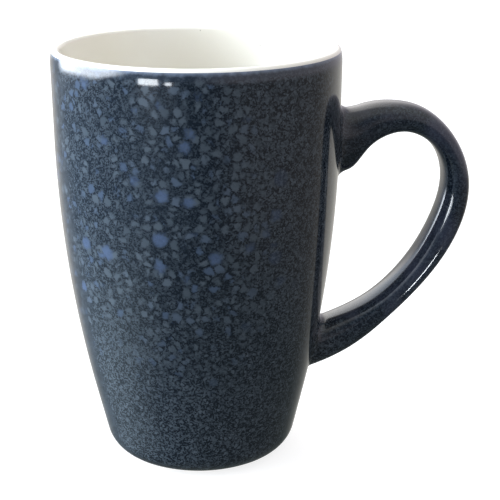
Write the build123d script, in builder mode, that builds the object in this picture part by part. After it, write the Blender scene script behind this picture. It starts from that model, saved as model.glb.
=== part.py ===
from build123d import *
from math import cos, radians, sin, tan
import os

# A tall tapered ceramic mug with an ear-shaped handle, made as its fired clay pieces, the slip that joins
# them, and their glazes. Units are millimetres and +Z is up. The origin is where the cup's axis meets the
# plane that the foot ring stands on, and the handle points along +X.
#
# Each outline of the cup takes an inset: 0 gives the glazed surface, and GLAZE gives the clay beneath it.
# Arcs keep their centres and only change radius, so a coat of glaze has the same thickness everywhere.

# ---------------------------------------------------------------- driving dimensions
HEIGHT = 121.0  # foot plane to the crest of the rim
RIM_RADIUS = 41.0  # the widest part of the glazed wall, just under the lip
GLAZE = 0.45  # thickness of each coat of glaze

# The outside of the wall, from the rim down: nearly upright, a long belly arc, a cone, then the heel.
WALL_LEAN = 0.75  # degrees outward of the nearly upright part
BELLY_TOP = 96.0
BELLY_BOTTOM = 20.0
TAPER = 13.25  # degrees of the cone below the belly
HEEL_RADIUS = 8.8
GLAZE_LINE = 70.0  # where the outer glaze ends on the heel, in degrees below the horizontal

# The rim: the wall turns gently inward, then a tight arc goes over the crest to the inside.
LIP_RADIUS = 12.0
LIP_TURN = 15.0  # degrees that the lip turns inward; the outer glaze and the white liner meet there
CREST_RADIUS = 1.2

# The inside follows the outside, and the wall thickens downwards.
INNER_LEAN = 1.2
INNER_BELLY_TOP = 106.0
INNER_BELLY_BOTTOM = 25.0
INNER_TAPER = 13.0
FLOOR_HEIGHT = 6.5
FLOOR_FILLET = 12.0

# The foot ring and the glazed recess inside it.
FOOT_OUTER = 21.9
FOOT_INNER = 17.6
FOOT_BEVEL = 0.5
RECESS_DEPTH = 2.0  # from the foot plane to the glazed ceiling
RECESS_FILLET = 1.6

# The handle's side view: each pair is a point on its outer edge and the matching point on its inner edge,
# from the upper root, inside the cup's wall, round to the lower one. Its section is an ellipse across each
# pair.
HANDLE_EDGES = [
    ((37.0, 102.3), (37.0, 84.3)),
    ((40.5, 102.2), (40.5, 84.0)),
    ((44.0, 102.4), (44.0, 84.5)),
    ((49.0, 103.5), (49.0, 90.2)),
    ((55.5, 104.1), (55.5, 94.5)),
    ((64.4, 102.5), (61.8, 94.9)),
    ((73.2, 95.9), (68.3, 91.2)),
    ((79.8, 81.0), (72.3, 80.5)),
    ((77.2, 65.0), (69.3, 68.0)),
    ((68.4, 50.8), (62.2, 55.5)),
    ((56.3, 38.2), (51.0, 44.7)),
    ((45.0, 29.2), (42.0, 40.2)),
    ((37.0, 25.3), (37.0, 38.3)),
    ((29.0, 22.8), (29.0, 35.8)),
]
HANDLE_WIDTH = 13.6  # across the handle at its waist
ROOT_WIDTH = 15.4  # across it where it meets the wall

# The slip that lutes the handle on: a thin pad at each root, squeezed out into a smooth collar round it.
SLIP_PAD = 0.35
UPPER_COLLAR = 3.0  # radius of the glazed hollow round the upper root
LOWER_COLLAR = 2.0
ROOT_REACH = 52.0  # both collars lie closer to the cup's axis than this

# ---------------------------------------------------------------- centres that follow from them
lean, taper, turn = radians(WALL_LEAN), radians(TAPER), radians(LIP_TURN)
inner_lean, inner_taper = radians(INNER_LEAN), radians(INNER_TAPER)

crest_height = HEIGHT - CREST_RADIUS
lip_height = crest_height - (LIP_RADIUS - CREST_RADIUS) * sin(turn)
lip_centre = (RIM_RADIUS - LIP_RADIUS, lip_height)
crest_centre = (lip_centre[0] + (LIP_RADIUS - CREST_RADIUS) * cos(turn), crest_height)


def arc_between(x, top, bottom, upper_tilt, lower_tilt):
    """The radius and centre of the wall's arc from height top, at radius x, down to height bottom."""
    radius = (top - bottom) / (sin(lower_tilt) - sin(upper_tilt))
    return radius, (x - radius * cos(upper_tilt), top + radius * sin(upper_tilt))


def rounding_centre(arc_radius, arc_centre, tilt, radius, level):
    """The centre of a rounding that touches both the cone under an arc of the wall and the plane at level."""
    x = arc_centre[0] + arc_radius * cos(tilt)
    z = arc_centre[1] - arc_radius * sin(tilt)
    return (x - (z - level - radius) * tan(tilt) - radius / cos(tilt), level + radius)


belly_top_x = RIM_RADIUS - (lip_height - BELLY_TOP) * tan(lean)
belly_radius, belly_centre = arc_between(belly_top_x, BELLY_TOP, BELLY_BOTTOM, lean, taper)
heel_centre = rounding_centre(belly_radius, belly_centre, taper, HEEL_RADIUS, 0)

mouth_x = crest_centre[0] - CREST_RADIUS * cos(inner_lean)
inner_top_x = mouth_x - (crest_height - INNER_BELLY_TOP) * tan(inner_lean)
inner_radius, inner_centre = arc_between(
    inner_top_x, INNER_BELLY_TOP, INNER_BELLY_BOTTOM, inner_lean, inner_taper
)
floor_centre = rounding_centre(inner_radius, inner_centre, inner_taper, FLOOR_FILLET, FLOOR_HEIGHT)
recess_centre = (FOOT_INNER - RECESS_FILLET, RECESS_DEPTH + GLAZE - RECESS_FILLET)

# Outlines are drawn on the far side of the axis from the handle, so that the seams of the turned surfaces
# stay clear of its roots.
profile_plane = Plane((0, 0, 0), x_dir=(-1, 0, 0), z_dir=(0, 1, 0))


# ---------------------------------------------------------------- outlines, drawn inside a BuildLine
def draw_outside(inset):
    """The outside of the cup, from the glaze line on the heel up to the lip. Returns its two ends."""
    heel = CenterArc(heel_centre, HEEL_RADIUS - inset, -GLAZE_LINE, GLAZE_LINE - TAPER)
    belly = CenterArc(belly_centre, belly_radius - inset, -TAPER, TAPER - WALL_LEAN)
    lip = CenterArc(lip_centre, LIP_RADIUS - inset, -WALL_LEAN, WALL_LEAN + LIP_TURN)
    Line(heel @ 1, belly @ 0)
    Line(belly @ 1, lip @ 0)
    return heel @ 0, lip @ 1


def draw_inside(inset):
    """The crest of the rim and the inside of the cup, to the middle of its floor. Returns its two ends."""
    crest = CenterArc(crest_centre, CREST_RADIUS - inset, LIP_TURN, 180 - INNER_LEAN - LIP_TURN)
    belly = CenterArc(inner_centre, inner_radius + inset, -INNER_LEAN, INNER_LEAN - INNER_TAPER)
    corner = CenterArc(floor_centre, FLOOR_FILLET + inset, -INNER_TAPER, INNER_TAPER - 90)
    Line(crest @ 1, belly @ 0)
    Line(belly @ 1, corner @ 0)
    floor = Line(corner @ 1, (0, FLOOR_HEIGHT - inset))
    return crest @ 0, floor @ 1


def draw_recess(inset):
    """The ceiling of the recess under the cup and its rounded corner. Returns its two ends."""
    corner = CenterArc(recess_centre, RECESS_FILLET - GLAZE + inset, 0, 90)
    ceiling = Line(corner @ 1, (0, RECESS_DEPTH + inset))
    return corner @ 0, ceiling @ 1


# ---------------------------------------------------------------- solid forms that the pieces are cut from
def cup_form(inset):
    """The cup filled in: a solid of revolution out to the wall's surface at this inset."""
    with BuildPart() as form:
        with BuildSketch(profile_plane):
            with BuildLine():
                low, high = draw_outside(inset)
                Polyline(high, crest_centre, (0, crest_centre[1]), (0, heel_centre[1]), heel_centre, low)
            make_face()
        revolve(axis=Axis.Z)
    return form.part


def handle_form(inset):
    """The handle, with both ends run on into the cup's wall, lofted through an ellipse at each pair."""
    last = len(HANDLE_EDGES) - 1
    with BuildPart() as form:
        for number, ((outer_x, outer_z), (inner_x, inner_z)) in enumerate(HANDLE_EDGES):
            outer, inner = Vector(outer_x, 0, outer_z), Vector(inner_x, 0, inner_z)
            thickness = outer - inner
            root_share = max(0, 4 * abs(number / last - 0.5) - 1)
            width = HANDLE_WIDTH + (ROOT_WIDTH - HANDLE_WIDTH) * root_share**2
            half_sizes = (thickness.length / 2 - inset, width / 2 - inset)
            section = Plane((outer + inner) / 2, x_dir=thickness, z_dir=thickness.cross(Vector(0, 1, 0)))
            with BuildSketch(section):
                with BuildLine():
                    EllipticalCenterArc((0, 0), *half_sizes, -90, arc_size=180)
                    EllipticalCenterArc((0, 0), *half_sizes, 90, arc_size=180)
                make_face()
        loft()
    return form.part


def joined_form(inset):
    """The filled cup and its handle in one, with the smooth hollow of a slip collar round each root."""
    with BuildPart() as form:
        add(cup_form(inset))
        add(handle_form(inset))
        roots = form.edges(Select.NEW)
        upper_root = roots.filter_by_position(Axis.Z, HEIGHT / 2, HEIGHT)
        lower_root = roots.filter_by_position(Axis.Z, 0, HEIGHT / 2)
        fillet(upper_root, UPPER_COLLAR + inset)
        fillet(lower_root, LOWER_COLLAR + inset)
    return form.part


glazed_form = joined_form(0)
clay_form = joined_form(GLAZE)
wall_form = cup_form(GLAZE)

# ---------------------------------------------------------------- fired clay
with BuildPart() as cup_body:
    with BuildSketch(profile_plane):
        with BuildLine():
            heel_end, lip_end = draw_outside(GLAZE)
            draw_inside(GLAZE)
            recess_edge, recess_middle = draw_recess(GLAZE)
            Line((0, FLOOR_HEIGHT - GLAZE), recess_middle)
            Polyline(
                recess_edge,
                (FOOT_INNER, FOOT_BEVEL),
                (FOOT_INNER + FOOT_BEVEL, 0),
                (FOOT_OUTER, 0),
                heel_end,
            )
        make_face()
    revolve(axis=Axis.Z)
cup_body.part.label = "cup_body"

with BuildPart() as handle:
    add(handle_form(GLAZE))
    add(cup_form(GLAZE - SLIP_PAD), mode=Mode.SUBTRACT)
handle.part.label = "handle"

# ------------------------------------------------------ luting slip: a pad and a collar at each root
with BuildPart() as upper_slip_joint:
    with Locations((0, 0, HEIGHT / 2)):
        Box(ROOT_REACH, RIM_RADIUS, HEIGHT / 2, align=(Align.MIN, Align.CENTER, Align.MIN))
    add(clay_form, mode=Mode.INTERSECT)
    add(wall_form, mode=Mode.SUBTRACT)
    add(handle.part, mode=Mode.SUBTRACT)
upper_slip_joint.part.label = "upper_slip_joint"

with BuildPart() as lower_slip_joint:
    with Locations((0, 0, HEEL_RADIUS)):
        Box(ROOT_REACH, RIM_RADIUS, HEIGHT / 2 - HEEL_RADIUS, align=(Align.MIN, Align.CENTER, Align.MIN))
    add(clay_form, mode=Mode.INTERSECT)
    add(wall_form, mode=Mode.SUBTRACT)
    add(handle.part, mode=Mode.SUBTRACT)
lower_slip_joint.part.label = "lower_slip_joint"

# ---------------------------------------------------------------- glazes
with BuildPart() as outer_glaze:
    add(glazed_form)
    add(clay_form, mode=Mode.SUBTRACT)
outer_glaze.part.label = "outer_glaze"

with BuildPart() as liner_glaze:
    with BuildSketch(profile_plane):
        with BuildLine():
            face_top, face_middle = draw_inside(0)
            clay_top, clay_middle = draw_inside(GLAZE)
            Line(face_top, clay_top)
            Line(face_middle, clay_middle)
        make_face()
    revolve(axis=Axis.Z)
liner_glaze.part.label = "liner_glaze"

with BuildPart() as base_glaze:
    with BuildSketch(profile_plane):
        with BuildLine():
            face_edge, face_centre = draw_recess(0)
            clay_edge, clay_centre = draw_recess(GLAZE)
            Line(face_edge, clay_edge)
            Line(face_centre, clay_centre)
        make_face()
    revolve(axis=Axis.Z)
base_glaze.part.label = "base_glaze"

# ---------------------------------------------------------------- files
os.makedirs("parts", exist_ok=True)
for piece in (cup_body, handle, upper_slip_joint, lower_slip_joint, outer_glaze, liner_glaze, base_glaze):
    export_step(piece.part, f"parts/{piece.part.label}.step")
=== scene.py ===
import math
from collections import Counter

import bpy
import numpy as np
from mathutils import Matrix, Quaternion, Vector


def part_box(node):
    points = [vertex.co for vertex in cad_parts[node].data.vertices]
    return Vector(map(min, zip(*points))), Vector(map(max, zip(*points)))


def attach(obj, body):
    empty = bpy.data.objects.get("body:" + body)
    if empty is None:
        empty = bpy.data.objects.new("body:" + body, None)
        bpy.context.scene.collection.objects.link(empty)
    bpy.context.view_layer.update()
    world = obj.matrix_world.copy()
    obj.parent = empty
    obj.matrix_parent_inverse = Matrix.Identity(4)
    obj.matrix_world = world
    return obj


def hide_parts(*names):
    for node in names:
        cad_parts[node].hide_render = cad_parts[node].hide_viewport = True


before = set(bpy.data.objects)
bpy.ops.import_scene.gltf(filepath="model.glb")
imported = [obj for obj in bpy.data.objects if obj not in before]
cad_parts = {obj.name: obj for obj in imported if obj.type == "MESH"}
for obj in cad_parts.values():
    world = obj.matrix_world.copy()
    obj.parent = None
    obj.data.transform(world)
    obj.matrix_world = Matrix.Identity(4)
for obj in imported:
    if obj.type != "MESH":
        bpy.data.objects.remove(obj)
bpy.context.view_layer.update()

# The mug's glazes are rebuilt here as smooth closed coats, with procedural glaze and clay materials. Sizes
# are metres, written as millimetres times MM, and angles are degrees. The cup's axis is Z and the handle
# points along +X.
MM = 0.001

# ---------------------------------------------------------------- sizes shared with the CAD outlines
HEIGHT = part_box("liner_glaze")[1][2]
RIM_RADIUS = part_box("outer_glaze")[1][1]
GLAZE = 0.45 * MM
WALL_LEAN = 0.75
BELLY_TOP = 96.0 * MM
BELLY_BOTTOM = 20.0 * MM
TAPER = 13.25
HEEL_RADIUS = 8.8 * MM
GLAZE_LINE = 70.0
LIP_RADIUS = 12.0 * MM
LIP_TURN = 15.0
CREST_RADIUS = 1.2 * MM
INNER_LEAN = 1.2
INNER_BELLY_TOP = 106.0 * MM
INNER_BELLY_BOTTOM = 25.0 * MM
INNER_TAPER = 13.0
FLOOR_HEIGHT = 6.5 * MM
FLOOR_FILLET = 12.0 * MM
FOOT_INNER = 17.6 * MM
RECESS_DEPTH = 2.0 * MM
RECESS_FILLET = 1.6 * MM

# The handle's side view in millimetres: pairs of points on its outer and inner edge, from the upper root
# round to the lower one. They are the CAD's. Its section is a rounded oval across each pair.
HANDLE_EDGES = [
    ((37.0, 102.3), (37.0, 84.3)),
    ((40.5, 102.2), (40.5, 84.0)),
    ((44.0, 102.4), (44.0, 84.5)),
    ((49.0, 103.5), (49.0, 90.2)),
    ((55.5, 104.1), (55.5, 94.5)),
    ((64.4, 102.5), (61.8, 94.9)),
    ((73.2, 95.9), (68.3, 91.2)),
    ((79.8, 81.0), (72.3, 80.5)),
    ((77.2, 65.0), (69.3, 68.0)),
    ((68.4, 50.8), (62.2, 55.5)),
    ((56.3, 38.2), (51.0, 44.7)),
    ((45.0, 29.2), (42.0, 40.2)),
    ((37.0, 25.3), (37.0, 38.3)),
    ((29.0, 22.8), (29.0, 35.8)),
]
HANDLE_WIDTH = 13.6 * MM
ROOT_WIDTH = 15.4 * MM
HANDLE_SQUARENESS = 2.6  # 2 is an ellipse
UPPER_COLLAR = 3.0 * MM
LOWER_COLLAR = 2.0 * MM

# ---------------------------------------------------------------- how fine the meshes are
COLUMNS = 180  # round the cup
PATCH_COLUMNS = 26  # of them, replaced by a patch round each root of the handle
PATCH_ROWS = 28
UPPER_PATCH = (75.5 * MM, 110.5 * MM)  # its lowest and highest edge on the wall
LOWER_PATCH = (14.5 * MM, 49.5 * MM)
ROWS_BELOW, ROWS_BETWEEN, ROWS_ABOVE = 16, 20, 12  # of the wall, outside the two patches
PATCH_RINGS = 9
COLLAR_RINGS = 9
HANDLE_RINGS = 110
LINE_SAMPLES = 2400  # along the handle, to find where it meets the wall
HEEL_POINTS, BELLY_POINTS, LIP_POINTS = 40, 300, 40
CREST_POINTS, INNER_BELLY_POINTS, CORNER_POINTS = 16, 60, 18
RECESS_POINTS = 8
FLOOR_POINTS = 10
SHARP_ANGLE = 50  # degrees between two faces, above which shading doesn't smooth their edge
ON_AXIS = 1e-7  # a smaller radius than this is a point on the axis


# ---------------------------------------------------------------- outlines as (radius, height) points
def arc_points(centre, radius, start, turn, count):
    """count + 1 points along an arc that starts at an angle above the horizontal and turns by another."""
    angles = np.radians(start + turn * np.linspace(0, 1, count + 1))
    return np.stack((centre[0] + radius * np.cos(angles), centre[1] + radius * np.sin(angles)), axis=1)


def belly_arc(x, top, bottom, upper_tilt, lower_tilt):
    """The radius and centre of the wall's arc from height top, at radius x, down to height bottom."""
    upper, lower = math.radians(upper_tilt), math.radians(lower_tilt)
    radius = (top - bottom) / (math.sin(lower) - math.sin(upper))
    return radius, (x - radius * math.cos(upper), top + radius * math.sin(upper))


def rounding_centre(arc_radius, arc_centre, tilt, radius, level):
    """The centre of a rounding that touches the cone under an arc of the wall and the plane at level."""
    tilt = math.radians(tilt)
    x = arc_centre[0] + arc_radius * math.cos(tilt)
    z = arc_centre[1] - arc_radius * math.sin(tilt)
    return x - (z - level - radius) * math.tan(tilt) - radius / math.cos(tilt), level + radius


crest_height = HEIGHT - CREST_RADIUS
lip_centre = (
    RIM_RADIUS - LIP_RADIUS,
    crest_height - (LIP_RADIUS - CREST_RADIUS) * math.sin(math.radians(LIP_TURN)),
)
crest_centre = (
    lip_centre[0] + (LIP_RADIUS - CREST_RADIUS) * math.cos(math.radians(LIP_TURN)),
    crest_height,
)


def outside_outline():
    """The glazed outside of the cup, from the glaze line on the heel up to the lip."""
    top_x = RIM_RADIUS - (lip_centre[1] - BELLY_TOP) * math.tan(math.radians(WALL_LEAN))
    radius, centre = belly_arc(top_x, BELLY_TOP, BELLY_BOTTOM, WALL_LEAN, TAPER)
    heel_centre = rounding_centre(radius, centre, TAPER, HEEL_RADIUS, 0)
    heel = arc_points(heel_centre, HEEL_RADIUS, -GLAZE_LINE, GLAZE_LINE - TAPER, HEEL_POINTS)
    belly = arc_points(centre, radius, -TAPER, TAPER - WALL_LEAN, BELLY_POINTS)
    lip = arc_points(lip_centre, LIP_RADIUS, -WALL_LEAN, WALL_LEAN + LIP_TURN, LIP_POINTS)
    return np.concatenate((heel, belly, lip))


def inside_outline(inset):
    """The crest of the rim and the inside of the cup, to the middle of its floor."""
    mouth_x = crest_centre[0] - CREST_RADIUS * math.cos(math.radians(INNER_LEAN))
    top_x = mouth_x - (crest_height - INNER_BELLY_TOP) * math.tan(math.radians(INNER_LEAN))
    radius, centre = belly_arc(top_x, INNER_BELLY_TOP, INNER_BELLY_BOTTOM, INNER_LEAN, INNER_TAPER)
    corner_centre = rounding_centre(radius, centre, INNER_TAPER, FLOOR_FILLET, FLOOR_HEIGHT)
    crest_turn = 180 - INNER_LEAN - LIP_TURN
    crest = arc_points(crest_centre, CREST_RADIUS - inset, LIP_TURN, crest_turn, CREST_POINTS)
    belly_turn = INNER_LEAN - INNER_TAPER
    belly = arc_points(centre, radius + inset, -INNER_LEAN, belly_turn, INNER_BELLY_POINTS)
    corner_turn = INNER_TAPER - 90
    corner = arc_points(corner_centre, FLOOR_FILLET + inset, -INNER_TAPER, corner_turn, CORNER_POINTS)
    floor_x = np.linspace(corner[-1][0], 0, FLOOR_POINTS)[1:]
    floor = np.stack((floor_x, np.full_like(floor_x, FLOOR_HEIGHT - inset)), axis=1)
    return np.concatenate((crest, belly, corner, floor))


def recess_outline(inset):
    """The glazed ceiling of the recess under the cup, from its rounded corner to its middle."""
    centre = (FOOT_INNER - RECESS_FILLET, RECESS_DEPTH + GLAZE - RECESS_FILLET)
    corner = arc_points(centre, RECESS_FILLET - GLAZE + inset, 0, 90, RECESS_POINTS)
    ceiling_x = np.linspace(corner[-1][0], 0, FLOOR_POINTS)[1:]
    ceiling = np.stack((ceiling_x, np.full_like(ceiling_x, RECESS_DEPTH + inset)), axis=1)
    return np.concatenate((corner, ceiling))


OUTLINE = outside_outline()


# ---------------------------------------------------------------- mesh building
class Skin:
    """A surface built ring by ring, whose neighbouring rings share their vertices."""

    def __init__(self):
        self.points = []
        self.faces = []

    def add(self, points):
        """Adds points and returns their numbers."""
        first = len(self.points)
        self.points.extend(tuple(float(value) for value in point) for point in points)
        return list(range(first, len(self.points)))

    def bridge(self, ring, other):
        """A closed band of quads between two rings, or of triangles where one of them is a single point."""
        count = max(len(ring), len(other))
        for here in range(count if count > 1 else 0):
            after = (here + 1) % count
            if len(other) == 1:
                self.faces.append((ring[here], ring[after], other[0]))
            elif len(ring) == 1:
                self.faces.append((ring[0], other[after], other[here]))
            else:
                self.faces.append((ring[here], ring[after], other[after], other[here]))

    def make(self, name):
        """The surface as a smooth-shaded object. Its open borders and its corners stay sharp."""
        mesh = bpy.data.meshes.new(name)
        mesh.from_pydata(self.points, [], self.faces)
        mesh.shade_smooth()
        mesh.validate()
        mesh.set_sharp_from_angle(angle=math.radians(SHARP_ANGLE))
        uses = Counter(key for face in mesh.polygons for key in face.edge_keys)
        sharp = mesh.attributes.get("sharp_edge") or mesh.attributes.new("sharp_edge", "BOOLEAN", "EDGE")
        for edge in mesh.edges:
            if uses[edge.key] == 1:
                sharp.data[edge.index].value = True
        piece = bpy.data.objects.new(name, mesh)
        bpy.context.scene.collection.objects.link(piece)
        return piece


def on_cup(angles, radii, heights):
    """Points at angles round the cup's axis, in radians from the handle's side."""
    return np.stack((radii * np.cos(angles), radii * np.sin(angles), heights), axis=1)


def turned_coat(name, upper, lower):
    """A closed coat of glaze turned round the cup's axis between two outlines that end on the axis."""
    skin = Skin()
    angles = np.radians(np.arange(COLUMNS) * 360 / COLUMNS)
    rings = []
    for radius, height in np.concatenate((upper, lower[::-1])):
        if radius < ON_AXIS:
            rings.append(skin.add([(0, 0, height)]))
        else:
            rings.append(skin.add(on_cup(angles, np.full(COLUMNS, radius), np.full(COLUMNS, height))))
    for ring, following in zip(rings, rings[1:] + rings[:1]):
        skin.bridge(ring, following)
    return skin.make(name)


# ---------------------------------------------------------------- handle
def spline_through(knots, values, places):
    """A natural cubic spline through values at knots, read at places."""
    count = len(knots)
    steps = np.diff(knots)
    system = np.eye(count)
    target = np.zeros_like(values)
    for row in range(1, count - 1):
        system[row, row - 1 : row + 2] = steps[row - 1], 2 * (steps[row - 1] + steps[row]), steps[row]
        rise = (values[row + 1] - values[row]) / steps[row] - (values[row] - values[row - 1]) / steps[row - 1]
        target[row] = 6 * rise
    bend = np.linalg.solve(system, target)
    span = np.clip(np.searchsorted(knots, places) - 1, 0, count - 2)
    step = steps[span][:, None]
    ahead = (places - knots[span])[:, None]
    back = step - ahead
    cubic = (bend[span] * back**3 + bend[span + 1] * ahead**3) / (6 * step)
    line_start = (values[span] / step - bend[span] * step / 6) * back
    line_end = (values[span + 1] / step - bend[span + 1] * step / 6) * ahead
    return cubic + line_start + line_end


def squarish(circle):
    """Turns a circle's coordinate into that of a fuller, flatter-sided oval of the same width and height."""
    return np.sign(circle) * np.abs(circle) ** (2 / HANDLE_SQUARENESS)


def handle_lines(phases):
    """The lines that run the handle's length, one per phase round its section: [sample, phase, xyz]."""
    edges = np.array(HANDLE_EDGES) * MM
    middles = edges.mean(axis=1)
    halves = (edges[:, 0] - edges[:, 1]) / 2
    order = np.arange(len(edges))
    root_share = np.maximum(0, 4 * np.abs(order / order[-1] - 0.5) - 1)
    widths = (HANDLE_WIDTH + (ROOT_WIDTH - HANDLE_WIDTH) * root_share**2) / 2
    knots = np.concatenate(([0], np.cumsum(np.hypot(*np.diff(middles, axis=0).T))))
    values = np.column_stack((middles, halves, widths))
    along = np.linspace(0, knots[-1], LINE_SAMPLES)
    middle_x, middle_z, half_x, half_z, width = spline_through(knots, values, along).T
    across, up = squarish(np.cos(phases)), squarish(np.sin(phases))
    return np.stack(
        (
            middle_x[:, None] + half_x[:, None] * up,
            width[:, None] * across,
            middle_z[:, None] + half_z[:, None] * up,
        ),
        axis=2,
    )


def unit(vectors):
    """The vectors made one long."""
    return vectors / np.linalg.norm(vectors, axis=-1, keepdims=True)


def root_collar(lines, outline, radius):
    """Where each of the handle's lines meets the wall, rounded by a collar of this radius.

    lines start inside the wall. Returns, per line, the place along it where the collar starts, in samples,
    the angle and height where the collar lands on the wall, and the collar's points from wall to handle."""
    # The corner, where each line comes out of the wall.
    wall_x = np.interp(lines[..., 2], outline[:, 1], outline[:, 0])
    clear = np.hypot(lines[..., 0], lines[..., 1]) - wall_x
    number = np.arange(lines.shape[1])
    hit = np.argmax(clear > 0, axis=0)
    share = clear[hit, number] / (clear[hit, number] - clear[hit - 1, number])
    corner = lines[hit, number] + (lines[hit - 1, number] - lines[hit, number]) * share[:, None]

    # Directions along the wall there: round the cup, up the wall, and away from the root.
    angle = np.arctan2(corner[:, 1], corner[:, 0])
    wall_radius = np.hypot(corner[:, 0], corner[:, 1])
    slope = np.gradient(outline[:, 0], outline[:, 1])
    lean = np.interp(corner[:, 2], outline[:, 1], slope)
    around = np.stack((-np.sin(angle), np.cos(angle), np.zeros_like(angle)), axis=1)
    upward = unit(np.stack((lean * np.cos(angle), lean * np.sin(angle), np.ones_like(angle)), axis=1))

    curve = unit(np.roll(corner, -1, axis=0) - np.roll(corner, 1, axis=0))
    flat = np.stack(((curve * around).sum(axis=1), (curve * upward).sum(axis=1)), axis=1)
    outward = unit(np.stack((flat[:, 1], -flat[:, 0]), axis=1))
    centre = corner.mean(axis=0)
    offset = corner - centre
    offset = np.stack(((offset * around).sum(axis=1), (offset * upward).sum(axis=1)), axis=1)
    outward[(outward * offset).sum(axis=1) < 0] *= -1
    away = outward[:, :1] * around + outward[:, 1:] * upward

    # How far the collar's two ends are from the corner.
    forward = unit(lines[hit + 4, number] - corner)
    square = forward - (forward * curve).sum(axis=1, keepdims=True) * curve
    between = np.arccos(np.clip((unit(square) * away).sum(axis=1), -1, 1))
    setback = radius / np.tan(between / 2)
    reach = setback / np.linalg.norm(square, axis=1)

    steps = np.linalg.norm(np.diff(lines, axis=0), axis=2)
    travelled = np.concatenate((np.zeros((1, lines.shape[1])), np.cumsum(steps, axis=0)))
    start = travelled[hit, number] - share * steps[hit - 1, number]
    samples = np.arange(len(lines))
    place = np.array([np.interp(start[n] + reach[n], travelled[:, n], samples) for n in number])
    tip = points_at(lines, place)
    tip_direction = unit(points_at(lines, place + 3) - points_at(lines, place - 3))

    # The two ends, and a smooth curve from one to the other.
    land_height = corner[:, 2] + setback * outward[:, 1] * upward[:, 2]
    land_radius = np.interp(land_height, outline[:, 1], outline[:, 0])
    land_angle = angle + setback * outward[:, 0] / wall_radius
    land = on_cup(land_angle, land_radius, land_height)

    bend = (math.pi - between) / 2
    pull = (4 / 3 * np.tan(bend / 2) / np.tan(bend))[:, None]
    near_tip = tip - tip_direction * pull * np.linalg.norm(corner - tip, axis=1, keepdims=True)
    near_land = land + (corner - land) * pull
    collar = []
    for t in np.linspace(0, 1, COLLAR_RINGS + 1)[1:]:
        weights = (1 - t) ** 3, 3 * t * (1 - t) ** 2, 3 * t**2 * (1 - t), t**3
        collar.append(weights[0] * land + weights[1] * near_land + weights[2] * near_tip + weights[3] * tip)
    return place, land_angle, land_height, collar


def points_at(lines, places):
    """One point on each line, at its own place in samples."""
    number = np.arange(lines.shape[1])
    low = np.clip(places.astype(int), 0, len(lines) - 2)
    share = (places - low)[:, None]
    return lines[low, number] * (1 - share) + lines[low + 1, number] * share


def patch_border():
    """The border of a patch in columns and rows from its middle, going once round it."""
    across, up = PATCH_COLUMNS // 2, PATCH_ROWS // 2
    right = [(across, row) for row in range(-up, up)]
    top = [(column, up) for column in range(across, -across, -1)]
    left = [(-across, row) for row in range(up, -up, -1)]
    bottom = [(column, -up) for column in range(-across, across)]
    return right + top + left + bottom


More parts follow.
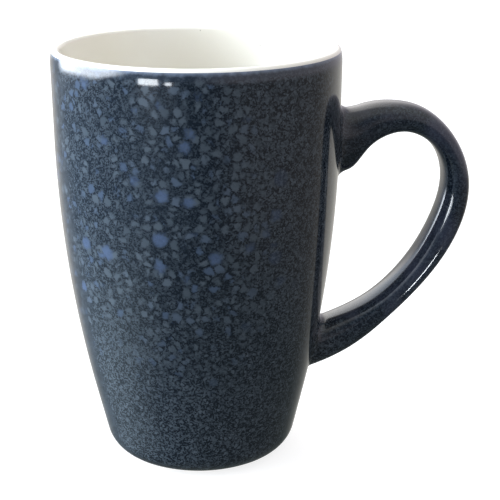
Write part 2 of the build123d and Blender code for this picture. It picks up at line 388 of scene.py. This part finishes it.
def outer_coat():
    """The blue glaze on the wall, the handle and a smooth collar round each root, all one closed coat."""
    outline = OUTLINE
    lengths = np.concatenate(([0], np.cumsum(np.hypot(*np.diff(outline, axis=0).T))))

    def stations(low, high, count):
        """Lengths along the outline of count even rows from height low, without the last."""
        ends = np.interp((low, high), outline[:, 1], lengths)
        return np.linspace(ends[0], ends[1], count + 1)[:-1]

    bottom, top = outline[0][1], outline[-1][1]
    counts = (ROWS_BELOW, PATCH_ROWS, ROWS_BETWEEN, PATCH_ROWS, ROWS_ABOVE)
    levels = (bottom, *LOWER_PATCH, *UPPER_PATCH, top)
    rows = [stations(low, high, count) for low, high, count in zip(levels, levels[1:], counts)]
    rows = np.concatenate((*rows, lengths[-1:]))
    radii = np.interp(rows, lengths, outline[:, 0])
    heights = np.interp(rows, lengths, outline[:, 1])
    lower_middle = counts[0] + PATCH_ROWS // 2
    upper_middle = sum(counts[:3]) + PATCH_ROWS // 2

    skin = Skin()
    angles = np.radians(np.arange(COLUMNS) * 360 / COLUMNS)
    half = PATCH_COLUMNS // 2

    def in_patch(row, column, margin):
        offset = (column + COLUMNS // 2) % COLUMNS - COLUMNS // 2
        near = min(abs(row - lower_middle), abs(row - upper_middle))
        return abs(offset) < half + margin and near < PATCH_ROWS // 2 + margin

    grid = {}
    for row in range(len(rows)):
        for column in range(COLUMNS):
            if not in_patch(row, column, 0):
                point = on_cup(angles[column : column + 1], radii[row], heights[row : row + 1])
                grid[row, column] = skin.add(point)[0]
    for row in range(len(rows) - 1):
        for column in range(COLUMNS):
            after = (column + 1) % COLUMNS
            corners = [(row, column), (row, after), (row + 1, after), (row + 1, column)]
            if not in_patch(row + 0.5, column + 0.5, 0):
                skin.faces.append(tuple(grid[corner] for corner in corners))

    border = patch_border()
    phases = np.array([math.atan2(row / (PATCH_ROWS / 2), column / half) for column, row in border])
    lines = handle_lines(phases)
    ends = []
    for middle, flip, run, radius in (
        (upper_middle, 1, lines, UPPER_COLLAR),
        (lower_middle, -1, lines[::-1], LOWER_COLLAR),
    ):
        ring = [grid[middle + flip * row, column % COLUMNS] for column, row in border]
        ring_angles = np.array([math.radians(column * 360 / COLUMNS) for column, _ in border])
        ring_heights = np.array([heights[middle + flip * row] for _, row in border])
        place, land_angle, land_height, collar = root_collar(run, outline, radius)
        bands = []
        for share in np.linspace(0, 1, PATCH_RINGS + 1)[1:]:
            band_heights = ring_heights + (land_height - ring_heights) * share
            band_angles = ring_angles + (land_angle - ring_angles) * share
            band_radii = np.interp(band_heights, outline[:, 1], outline[:, 0])
            bands.append(skin.add(on_cup(band_angles, band_radii, band_heights)))
        bands += [skin.add(points) for points in collar]
        for band in bands:
            skin.bridge(ring[::flip], band[::flip])
            ring = band
        ends.append((ring, place))

    (upper_ring, upper_place), (lower_ring, lower_place) = ends
    lower_place = len(lines) - 1 - lower_place
    ring = upper_ring
    for share in np.linspace(0, 1, HANDLE_RINGS + 1)[1:-1]:
        band = skin.add(points_at(lines, upper_place + (lower_place - upper_place) * share))
        skin.bridge(ring, band)
        ring = band
    skin.bridge(ring, lower_ring)

    piece = skin.make("blue_glaze_coat")
    shell = piece.modifiers.new("coat", "SOLIDIFY")
    shell.thickness = GLAZE
    shell.offset = -1
    return piece


# ---------------------------------------------------------------- node helpers
class Nodes:
    """Adds nodes to a material's or world's tree in short calls. Sockets are given by name or number."""

    def __init__(self, tree):
        self.tree = tree
        tree.nodes.clear()

    def add(self, kind, settings=None, **inputs):
        node = self.tree.nodes.new("ShaderNode" + kind)
        for key, value in (settings or {}).items():
            setattr(node, key, value)
        for key, value in inputs.items():
            by_number = key[0] == "i" and key[1:].isdigit()
            socket = node.inputs[int(key[1:]) if by_number else key.replace("_", " ")]
            if isinstance(value, bpy.types.NodeSocket):
                self.tree.links.new(value, socket)
            else:
                socket.default_value = value
        return node

    def maths(self, operation, first, second=0.0, third=0.0):
        return self.add("Math", {"operation": operation}, i0=first, i1=second, i2=third).outputs[0]

    def product(self, first, *others):
        for other in others:
            first = self.maths("MULTIPLY", first, other)
        return first

    def linear(self, value, slope, start):
        """slope times value, plus start."""
        return self.maths("MULTIPLY_ADD", value, slope, start)

    def vector(self, operation, first, second=(0, 0, 0)):
        return self.add("VectorMath", {"operation": operation}, i0=first, i1=second).outputs[0]

    def split(self, place):
        """The x, y and z of a place or direction."""
        return self.add("SeparateXYZ", Vector=place).outputs

    def mix(self, share, first, second):
        return self.add("Mix", {"data_type": "RGBA"}, i0=share, i6=first, i7=second).outputs[2]

    def step(self, value, low, high):
        """0 where value is below low, 1 above high, and smooth between; high may be below low."""
        settings = {"interpolation_type": "SMOOTHSTEP"}
        if high >= low:
            return self.add("MapRange", settings, i0=value, i1=low, i2=high, i3=0.0, i4=1.0).outputs[0]
        return self.add("MapRange", settings, i0=value, i1=high, i2=low, i3=1.0, i4=0.0).outputs[0]

    def noise(self, place, scale, detail=2.0, roughness=0.5):
        return self.add("TexNoise", Vector=place, Scale=scale, Detail=detail, Roughness=roughness)

    def cells(self, place, scale, feature="F1"):
        return self.add("TexVoronoi", {"feature": feature}, Vector=place, Scale=scale)

    def random(self, cells):
        """Three random values for each cell."""
        return self.add("SeparateColor", Color=cells.outputs["Color"]).outputs


def new_material(name):
    material = bpy.data.materials.new(name)
    material.use_nodes = True
    return material, Nodes(material.node_tree)


def object_millimetres(nodes):
    """The place on the object, in millimetres."""
    return nodes.vector("MULTIPLY", nodes.add("TexCoord").outputs["Object"], (1000, 1000, 1000))


def finish_material(nodes, shader):
    nodes.add("OutputMaterial", Surface=shader.outputs[0])


# ---------------------------------------------------------------- materials
# In the materials a length is in millimetres, and a texture's scale is per millimetre.
NAVY = (0.0035, 0.0070, 0.0125, 1)
SLATE = (0.040, 0.052, 0.065, 1)
PALE_SLATE = (0.073, 0.091, 0.110, 1)
PERIWINKLE = (0.044, 0.064, 0.100, 1)
BLOTCH_BLUE = (0.054, 0.080, 0.138, 1)
VIOLET = (0.042, 0.046, 0.075, 1)
LIP_BLUE = (0.017, 0.024, 0.037, 1)
RIM_BLUE = (0.17, 0.21, 0.28, 1)
CREAM = (0.80, 0.765, 0.66, 1)
PALE_CREAM = (0.84, 0.82, 0.755, 1)
LINER_SPECK = (0.20, 0.17, 0.13, 1)
CLAY = (0.50, 0.42, 0.32, 1)
PALE_CLAY = (0.72, 0.66, 0.56, 1)
GLASSY = 1.5  # the index of refraction of a glaze

GRAIN_SCALE = 2.7
SMALL_CELLS = 0.85
MEDIUM_CELLS = 0.385
LIP_BAND = (117.4, 119.6)  # the heights where the darker lip starts and is full
RIM_BAND = (119.5, 121.2)  # the same for the pale edge beside the white liner

# The larger blotches are placed at random: one in some of the cells of a wide Voronoi pattern.
BLOTCH_SPACING = 7.5
BLOTCH_CHANCE = 0.50
BLOTCH_SHIFT = (3.0, 5.0, 2.0)  # picks the random pattern
BLOTCH_LOWEST = (46.0, 56.0)  # the heights where they start and are all there


def smooth_blotches(nodes, warped, crumble):
    """How much the larger blotches cover, from a warped place and a grain for their edges."""
    near = nodes.cells(nodes.vector("ADD", warped, BLOTCH_SHIFT), 1 / BLOTCH_SPACING)
    random = nodes.random(near)
    radius = nodes.linear(random[1], 1.2, 1.3)
    distance = nodes.linear(near.outputs["Distance"], BLOTCH_SPACING, nodes.product(crumble, 4.0))
    spot = nodes.step(nodes.maths("SUBTRACT", distance, radius), 0.4, -0.7)
    return nodes.product(spot, nodes.step(random[0], 1 - BLOTCH_CHANCE, 1.02 - BLOTCH_CHANCE))


def cell_layer(nodes, warped, crumble, scale, full, chance):
    """How much a layer of soft-edged cells covers, and a random value for each of them."""
    near = nodes.cells(warped, scale)
    second = nodes.cells(warped, scale, "F2")
    random = nodes.random(near)
    spread = nodes.maths("SUBTRACT", second.outputs["Distance"], near.outputs["Distance"])
    cover = nodes.step(nodes.maths("ADD", spread, crumble), 0.05, full)
    middle = nodes.step(near.outputs["Distance"], 0.80, 0.40)
    shown = nodes.step(random[0], 1 - chance, 1.05 - chance)
    return nodes.product(cover, middle, shown), random[1]


def blue_glaze():
    """Dark navy glaze: soft-edged slate cells over a fine grain, with a few periwinkle blotches."""
    material, nodes = new_material("blue_reactive_glaze")
    place = object_millimetres(nodes)
    outward, _, height = nodes.split(place)
    wobble = nodes.vector("SUBTRACT", nodes.noise(place, 0.6).outputs["Color"], (0.5, 0.5, 0.5))
    warped = nodes.vector("ADD", place, nodes.vector("MULTIPLY", wobble, (1.8, 1.8, 1.8)))

    # Where the pattern changes: high up, away from the handle, farthest from it, and on it.
    region = nodes.noise(place, 0.045).outputs["Fac"]
    high = nodes.step(nodes.linear(region, 60.0, height), 50.0, 90.0)
    away = nodes.step(nodes.linear(region, 30.0, outward), 44.0, 10.0)
    high_and_away = nodes.product(high, away)
    farthest = nodes.step(outward, -14.0, -30.0)
    on_handle = nodes.step(outward, 39.0, 44.0)

    # A fine grain, which also crumbles the edges of the cells.
    grain = nodes.random(nodes.cells(place, GRAIN_SCALE))[0]
    crumble = nodes.linear(grain, 0.16, -0.08)
    speck_light = nodes.linear(farthest, 0.30, nodes.linear(high_and_away, -0.34, 0.60))
    speck_light = nodes.product(speck_light, nodes.linear(on_handle, -0.45, 1.0))
    colour = nodes.mix(nodes.product(nodes.step(grain, 0.35, 0.98), speck_light), NAVY, PALE_SLATE)

    # Small cells nearly everywhere, and medium cells high up, the bluest away from the handle.
    small, small_tone = cell_layer(nodes, warped, crumble, SMALL_CELLS, 0.45, 0.70)
    small_light = nodes.product(nodes.linear(high_and_away, -0.42, 0.72), nodes.linear(on_handle, -0.60, 1.0))
    small_colour = nodes.mix(small_tone, SLATE, PALE_SLATE)
    colour = nodes.mix(nodes.product(small, small_light), colour, small_colour)
    medium, medium_tone = cell_layer(nodes, warped, crumble, MEDIUM_CELLS, 0.46, 0.86)
    coarse = nodes.product(high, nodes.linear(away, 0.75, 0.25), nodes.maths("SUBTRACT", 1.0, on_handle))
    blue_share = nodes.product(nodes.step(medium_tone, 0.55, 0.95), away)
    medium_colour = nodes.mix(blue_share, nodes.mix(medium_tone, SLATE, PALE_SLATE), PERIWINKLE)
    colour = nodes.mix(nodes.product(coarse, medium), colour, medium_colour)

    # The larger blotches, and clouds of violet on the handle.
    blotches = nodes.product(smooth_blotches(nodes, warped, crumble), nodes.linear(grain, 0.25, 0.75))
    blotches = nodes.product(blotches, nodes.product(away, nodes.step(height, *BLOTCH_LOWEST)))
    colour = nodes.mix(blotches, colour, BLOTCH_BLUE)
    clouds = nodes.step(nodes.noise(place, 0.06).outputs["Fac"], 0.45, 0.62)
    colour = nodes.mix(nodes.product(clouds, on_handle, 0.40), colour, VIOLET)

    # The lip, with ragged edges.
    ragged = nodes.linear(nodes.noise(place, 0.5).outputs["Fac"], 1.2, height)
    lip_share = nodes.product(nodes.step(ragged, *LIP_BAND), nodes.linear(grain, -0.5, 0.85))
    colour = nodes.mix(lip_share, colour, LIP_BLUE)
    colour = nodes.mix(nodes.step(ragged, *RIM_BAND), colour, RIM_BLUE)

    ripple = nodes.noise(place, 0.30).outputs["Fac"]
    bump = nodes.add("Bump", Strength=1.0, Distance=0.000012, Height=ripple).outputs[0]
    shader = nodes.add("BsdfPrincipled", Base_Color=colour, Roughness=0.09, IOR=GLASSY, Normal=bump)
    finish_material(nodes, shader)
    return material


def white_glaze():
    """Cream-white liner glaze with a few tiny specks."""
    material, nodes = new_material("cream_liner_glaze")
    place = object_millimetres(nodes)
    cloud = nodes.noise(place, 0.06, 3.0).outputs["Fac"]
    near = nodes.cells(place, 0.22)
    chance = nodes.random(near)[0]
    speck = nodes.product(nodes.step(near.outputs["Distance"], 0.075, 0.04), nodes.step(chance, 0.70, 0.72))
    colour = nodes.mix(nodes.product(speck, 0.55), nodes.mix(cloud, CREAM, PALE_CREAM), LINER_SPECK)
    shader = nodes.add("BsdfPrincipled", Base_Color=colour, Roughness=0.12, IOR=GLASSY)
    finish_material(nodes, shader)
    return material


def bare_clay():
    """Fired stoneware without glaze: matt and sandy."""
    material, nodes = new_material("bare_stoneware")
    grain = nodes.noise(object_millimetres(nodes), 2.2, 4.0, 0.7).outputs["Fac"]
    bump = nodes.add("Bump", Strength=0.5, Distance=0.0001, Height=grain).outputs[0]
    colour = nodes.mix(grain, CLAY, PALE_CLAY)
    shader = nodes.add("BsdfPrincipled", Base_Color=colour, Roughness=0.85, Normal=bump)
    finish_material(nodes, shader)
    return material


# ---------------------------------------------------------------- the object
def liner_coat():
    return turned_coat("liner_coat", inside_outline(0), inside_outline(GLAZE))


def base_coat():
    return turned_coat("base_coat", recess_outline(GLAZE), recess_outline(0))


def dress(piece, material, node):
    """Gives a new piece its material and puts it in place of a CAD node."""
    piece.data.materials.append(material)
    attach(piece, "root")
    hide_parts(node)


blue = blue_glaze()
clay = bare_clay()
dress(outer_coat(), blue, "outer_glaze")
dress(liner_coat(), white_glaze(), "liner_glaze")
dress(base_coat(), blue, "base_glaze")
for name in ("cup_body", "handle", "upper_slip_joint", "lower_slip_joint"):
    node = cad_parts[name]
    node.data.materials.clear()
    node.data.materials.append(clay)


# ---------------------------------------------------------------- camera, floor and light
FLOOR_REACH = 6.0  # metres from the mug to the floor's edges


def camera():
    """The photo's camera: 37 cm from the cup's axis and looking 17 degrees down."""
    data = bpy.data.cameras.new("camera")
    data.lens = 95
    data.sensor_width = 36
    data.clip_start = 0.02
    data.clip_end = 50
    viewer = bpy.data.objects.new("camera", data)
    viewer.location = (-0.0291, -0.3699, 0.1767)
    viewer.rotation_euler = (math.radians(90 - 17.36), 0, math.radians(-6.81))
    bpy.context.scene.collection.objects.link(viewer)
    bpy.context.scene.camera = viewer


def pale_floor():
    """A wide floor that shades softly under the mug and stays out of its reflections."""
    corners = [(x * FLOOR_REACH, y * FLOOR_REACH, 0) for x, y in ((-1, -1), (1, -1), (1, 1), (-1, 1))]
    mesh = bpy.data.meshes.new("floor")
    mesh.from_pydata(corners, [], [(0, 1, 2, 3)])
    floor = bpy.data.objects.new("floor", mesh)
    bpy.context.scene.collection.objects.link(floor)
    material, nodes = new_material("pale_floor")
    glow = {"Emission_Color": (1, 1, 1, 1), "Emission_Strength": 0.80}
    shader = nodes.add("BsdfPrincipled", Base_Color=(0.35, 0.35, 0.35, 1), Roughness=1.0, **glow)
    finish_material(nodes, shader)
    mesh.materials.append(material)
    floor.visible_diffuse = False
    floor.visible_glossy = False
    floor.visible_shadow = False


# The room by direction. A value over 1 is brighter than white.
DIM_ROOM = (0.075, 0.10, 0.125, 1)
ROOM_LEFT = (0.30, 0.40, 0.52, 1)
ROOM_RIGHT = (0.26, 0.245, 0.225, 1)
BACK_LOW = (0.75, 0.73, 0.68, 1)
BACK_HIGH = (2.9, 2.85, 2.75, 1)
BACK_LEFT = (0.60, 0.62, 0.62, 1)
GROUND = (0.13, 0.15, 0.145, 1)
GROUND_LEFT = (0.70, 0.86, 0.92, 1)
GLOW_RIGHT = (0.80, 0.76, 0.82, 1)
CEILING = (0.95, 0.95, 0.93, 1)
ABOVE_PANEL = (1.9, 2.1, 2.4, 1)
PANEL = (12.4, 13.5, 15.0, 1)
PANEL_AZIMUTH = math.radians(171)


def studio_world():
    """A pale studio: bright behind and above, a large bright panel at the left, and a dim room in front."""
    world = bpy.data.worlds.new("studio")
    world.use_nodes = True
    bpy.context.scene.world = world
    nodes = Nodes(world.node_tree)
    way = nodes.add("TexCoord").outputs["Generated"]
    x, y, z = nodes.split(way)

    # The walls of the room, and the bright backdrop, which reaches farther round as it rises.
    left = nodes.step(x, 0.1, -0.8)
    colour = nodes.mix(left, DIM_ROOM, ROOM_LEFT)
    colour = nodes.mix(nodes.step(x, -0.1, 0.7), colour, ROOM_RIGHT)
    rear = nodes.linear(nodes.maths("MAXIMUM", z, 0.0), 0.55, nodes.linear(left, -0.25, y))
    backdrop = nodes.mix(nodes.step(z, 0.04, 0.26), BACK_LOW, BACK_HIGH)
    backdrop = nodes.mix(nodes.step(x, -0.30, -0.60), backdrop, BACK_LEFT)
    colour = nodes.mix(nodes.step(rear, 0.15, 0.85), colour, backdrop)

    # The ground, a glow above it at the right, and the ceiling, which comes lower at the front.
    ground = nodes.mix(nodes.step(x, -0.45, -0.95), GROUND, GROUND_LEFT)
    colour = nodes.mix(nodes.step(z, -0.30, -0.60), colour, ground)
    glow = nodes.product(nodes.step(z, -0.20, -0.05), nodes.step(x, -0.2, 0.5))
    colour = nodes.mix(glow, colour, GLOW_RIGHT)
    ceiling = nodes.linear(nodes.step(y, 0.05, 0.45), -0.45, z)
    colour = nodes.mix(nodes.step(ceiling, 0.35, 0.9), colour, CEILING)

    # The panel at the left, whose foot rises towards the front, and softer light round and above it.
    panel_way = (math.cos(PANEL_AZIMUTH), math.sin(PANEL_AZIMUTH), 0)
    toward = nodes.add("VectorMath", {"operation": "DOT_PRODUCT"}, i0=way, i1=panel_way).outputs["Value"]
    upper_left = nodes.product(nodes.step(toward, 0.1, 0.7), nodes.step(z, 0.15, 0.30))
    colour = nodes.mix(upper_left, colour, ABOVE_PANEL)
    front_rise = nodes.maths("MAXIMUM", nodes.linear(y, -0.55, -0.03), 0.0)
    foot = nodes.step(nodes.maths("SUBTRACT", z, front_rise), -0.20, -0.02)
    panel = nodes.product(nodes.step(toward, 0.74, 0.91), foot, nodes.step(z, 0.66, 0.54))
    colour = nodes.mix(panel, colour, PANEL)

    background = nodes.add("Background", Color=colour, Strength=1.0)
    nodes.add("OutputWorld", Surface=background.outputs[0])


def window_light(name, way, size, seen_from, brightness, distance=1.2, spread=180, roll=0):
    """A crisp window. way is its azimuth and elevation, and size its width and height, in degrees as seen
    from a point; a narrow spread keeps its light near that point."""
    turn, lift = np.radians(way)
    flat = math.cos(lift)
    outward = Vector((flat * math.cos(turn), flat * math.sin(turn), math.sin(lift)))
    data = bpy.data.lights.new(name, "AREA")
    data.shape = "RECTANGLE"
    data.size, data.size_y = (2 * distance * math.tan(angle / 2) for angle in np.radians(size))
    data.spread = math.radians(spread)
    data.color = (0.88, 0.94, 1.0)
    data.energy = brightness * data.size * data.size_y * math.pi
    if spread < 180:
        # A narrower spread makes a lamp brighter along its middle, which this takes back.
        half = math.radians(spread / 2)
        data.energy *= (math.tan(half) - half) / math.tan(half)
    light = bpy.data.objects.new(name, data)
    light.location = Vector(seen_from) + outward * distance
    turned = outward.to_track_quat("Z", "Y") @ Quaternion((0, 0, 1), math.radians(roll))
    light.rotation_euler = turned.to_euler()
    light.visible_camera = False
    bpy.context.scene.collection.objects.link(light)


LIP_FRONT = (-0.016, -0.038, 0.118)
HANDLE_FRONT = (0.066, -0.007, 0.053)

camera()
pale_floor()
studio_world()
window_light("wide_window", (-131.6, -3.5), (15.6, 12.5), LIP_FRONT, brightness=21)
window_light("narrow_window", (-116.0, -6.6), (4.6, 5.8), LIP_FRONT, brightness=21)
window_light(
    "handle_window",
    (-67.5, -23.5),
    (2.4, 12.0),
    HANDLE_FRONT,
    brightness=90,
    distance=0.1,
    spread=30,
    roll=-34,
)
bpy.context.scene.view_settings.view_transform = "Standard"
